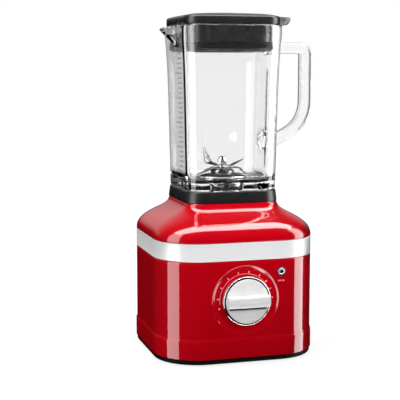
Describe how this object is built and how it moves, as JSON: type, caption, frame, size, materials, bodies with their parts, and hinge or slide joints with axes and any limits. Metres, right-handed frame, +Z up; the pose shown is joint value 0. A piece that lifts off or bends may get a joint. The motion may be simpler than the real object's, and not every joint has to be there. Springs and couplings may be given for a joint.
{
  "type": "countertop blender",
  "caption": "Countertop blender: motor base with a dial and a start button, lift-off square glass jar with handle, spout and bent blades, and a lid with a filler cap.",
  "frame": {"origin": "the point where the motor's axis meets the flat underside of the base plate; the feet reach 2 mm lower", "axes": "+Z up the motor's axis, +X towards the jar's handle, -Y towards the control dial"},
  "size_m": [0.2197, 0.2152, 0.4216],
  "materials": {
    "enamel": "high gloss enamel",
    "trim": "satin",
    "chrome": "polished",
    "silver": "satin metallic",
    "black_plastic": "satin",
    "rubber": "matt",
    "glass": "clear",
    "steel": "polished",
    "casting": "as cast",
    "laminations": "lacquered",
    "copper": "enamelled wire",
    "carbon": "graphite",
    "board": "solder mask",
    "natural_plastic": "moulded"
  },
  "bodies": {
    "base": {"base_housing": "enamel", "trim_band": "trim", "base_plate": "black_plastic", "fan_shroud": "black_plastic", "start_switch": "black_plastic", "jar_pad": "rubber", "well_seal": "rubber", "foot_front_left": "rubber", "foot_front_right": "rubber", "foot_back_left": "rubber", "foot_back_right": "rubber", "cord_inlet": "rubber", "base_screw_front_left": "steel", "base_screw_front_right": "steel", "base_screw_back_left": "steel", "base_screw_back_right": "steel", "motor_screw_front_left": "steel", "motor_screw_front_right": "steel", "motor_screw_back_left": "steel", "motor_screw_back_right": "steel", "upper_bearing": "steel", "lower_bearing": "steel", "motor_bolt_front": "steel", "motor_bolt_back": "steel", "board_screw": "steel", "motor_top_bracket": "casting", "motor_bottom_bracket": "casting", "stator_core": "laminations", "field_coil_back": "copper", "field_coil_front": "copper", "brush_holder_right": "natural_plastic", "brush_holder_left": "natural_plastic", "dial_encoder": "natural_plastic", "carbon_brush_right": "carbon", "carbon_brush_left": "carbon", "dial_bezel": "chrome", "button_bezel": "chrome", "control_board": "board"},
    "rotor": {"motor_shaft": "steel", "armature_core": "laminations", "commutator": "copper", "cooling_fan": "black_plastic", "drive_coupler": "black_plastic"},
    "dial": {"control_dial": "silver", "dial_shaft": "steel"},
    "button": {"start_button": "silver"},
    "jar": {"glass_jar": "glass", "blade_base": "steel", "base_gasket": "rubber", "retainer_nut": "black_plastic", "spindle_bearing_upper": "steel", "spindle_bearing_lower": "steel"},
    "blades": {"blade_spindle": "steel", "lower_blades": "steel", "upper_blades": "steel", "blade_nut": "steel", "driven_coupler": "black_plastic"},
    "lid": {"lid_cover": "black_plastic", "lid_seal": "rubber"},
    "cap": {"ingredient_cap": "black_plastic"}
  },
  "joints": [
    {"name": "rotor_spin", "type": "hinge", "parent": "base", "child": "rotor", "pos_m": [0, 0, 0.1], "axis": [0, 0, 1], "continuous": true},
    {"name": "dial_turn", "type": "hinge", "parent": "base", "child": "dial", "pos_m": [0, -0.1, 0.0765], "axis": [0, 1, 0], "range_deg": [-15, 178]},
    {"name": "button_press", "type": "slide", "parent": "base", "child": "button", "axis": [0, 1, 0], "range_m": [0, 0.0015], "stiffness_N_per_m": 800, "springref_m": -0.002},
    {"name": "jar_lift", "type": "slide", "parent": "base", "child": "jar", "axis": [0, 0, 1], "range_m": [0, 0.12]},
    {"name": "blade_spin", "type": "hinge", "parent": "jar", "child": "blades", "pos_m": [0, 0, 0.22], "axis": [0, 0, 1], "continuous": true},
    {"name": "lid_lift", "type": "slide", "parent": "jar", "child": "lid", "axis": [0, 0, 1], "range_m": [0, 0.07]},
    {"name": "cap_lift", "type": "slide", "parent": "lid", "child": "cap", "axis": [0, 0, 1], "range_m": [0, 0.06]}
  ],
  "couplings": [
    {"joint": "blade_spin", "follows": "rotor_spin", "ratio": 1}
  ]
}
